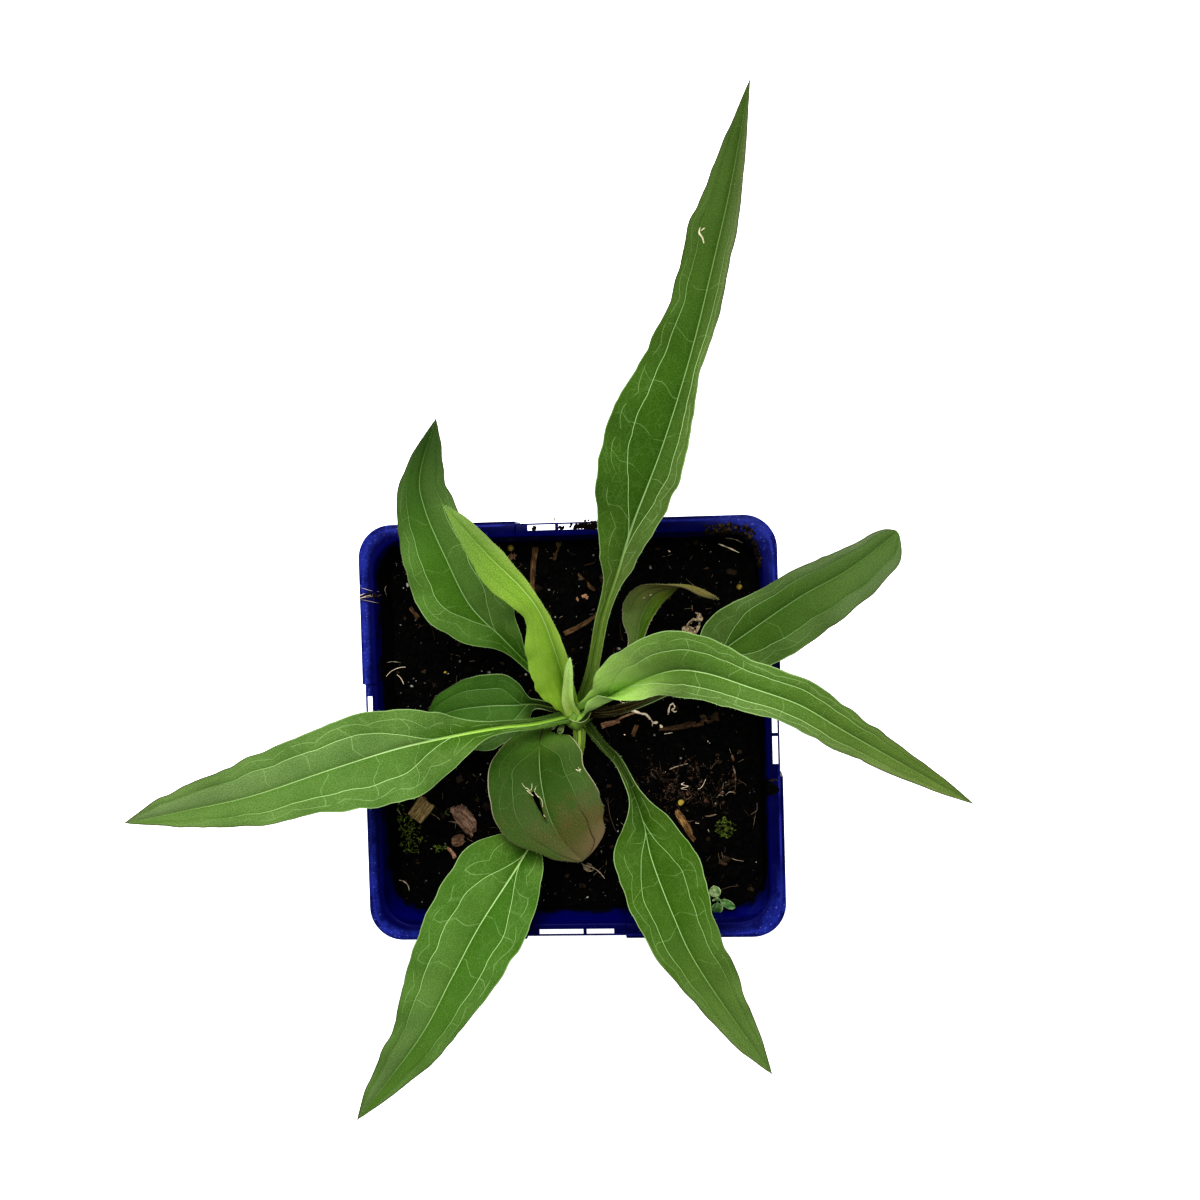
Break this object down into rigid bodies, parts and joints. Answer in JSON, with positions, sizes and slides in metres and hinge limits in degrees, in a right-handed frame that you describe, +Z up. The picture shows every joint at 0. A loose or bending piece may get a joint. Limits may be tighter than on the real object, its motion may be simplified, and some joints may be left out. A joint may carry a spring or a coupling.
{
  "type": "purple coneflower plant",
  "caption": "Young leafy purple coneflower plant with long pointed veined leaves, growing in dark soil in a square blue plastic nursery pot with slotted rim.",
  "frame": {"origin": "middle of the pot's base, on the surface the pot stands on", "axes": "+Z up along the pot's height, +Y towards the tip of the long upright leaf, +X towards the tip of the arching leaf"},
  "size_m": [0.1924, 0.2294, 0.1526],
  "materials": {
    "pot_plastic": "satin",
    "soil": "matte",
    "crown": "matte",
    "leaf_young": "satin",
    "leaf_light": "satin",
    "leaf_mid": "satin",
    "leaf_dark": "satin",
    "leaf_old": "satin",
    "weed": "matte",
    "bark_pale": "matte",
    "bark_brown": "matte",
    "fertiliser_bead": "satin",
    "moss": "matte",
    "root_pale": "matte"
  },
  "bodies": {
    "root": {"pot": "pot_plastic", "soil": "soil", "crown": "crown", "weed_seedling": "weed", "bark_block": "bark_pale", "bark_chunk_big": "bark_brown", "bark_chunk_small": "bark_brown", "stick_upper": "bark_brown", "twig_middle": "bark_brown", "stick_right": "bark_brown", "stick_lower": "bark_brown", "leaf_long_upright": "leaf_mid", "leaf_arching": "leaf_light", "leaf_left": "leaf_light", "leaf_upper_left": "leaf_mid", "leaf_young": "leaf_young", "leaf_newest": "leaf_young", "leaf_small_low": "leaf_dark", "leaf_old_torn": "leaf_old", "leaf_lower_left": "leaf_light", "leaf_lower_right": "leaf_mid", "leaf_right_low": "leaf_dark", "leaf_folded": "leaf_old"}
  },
  "joints": []
}
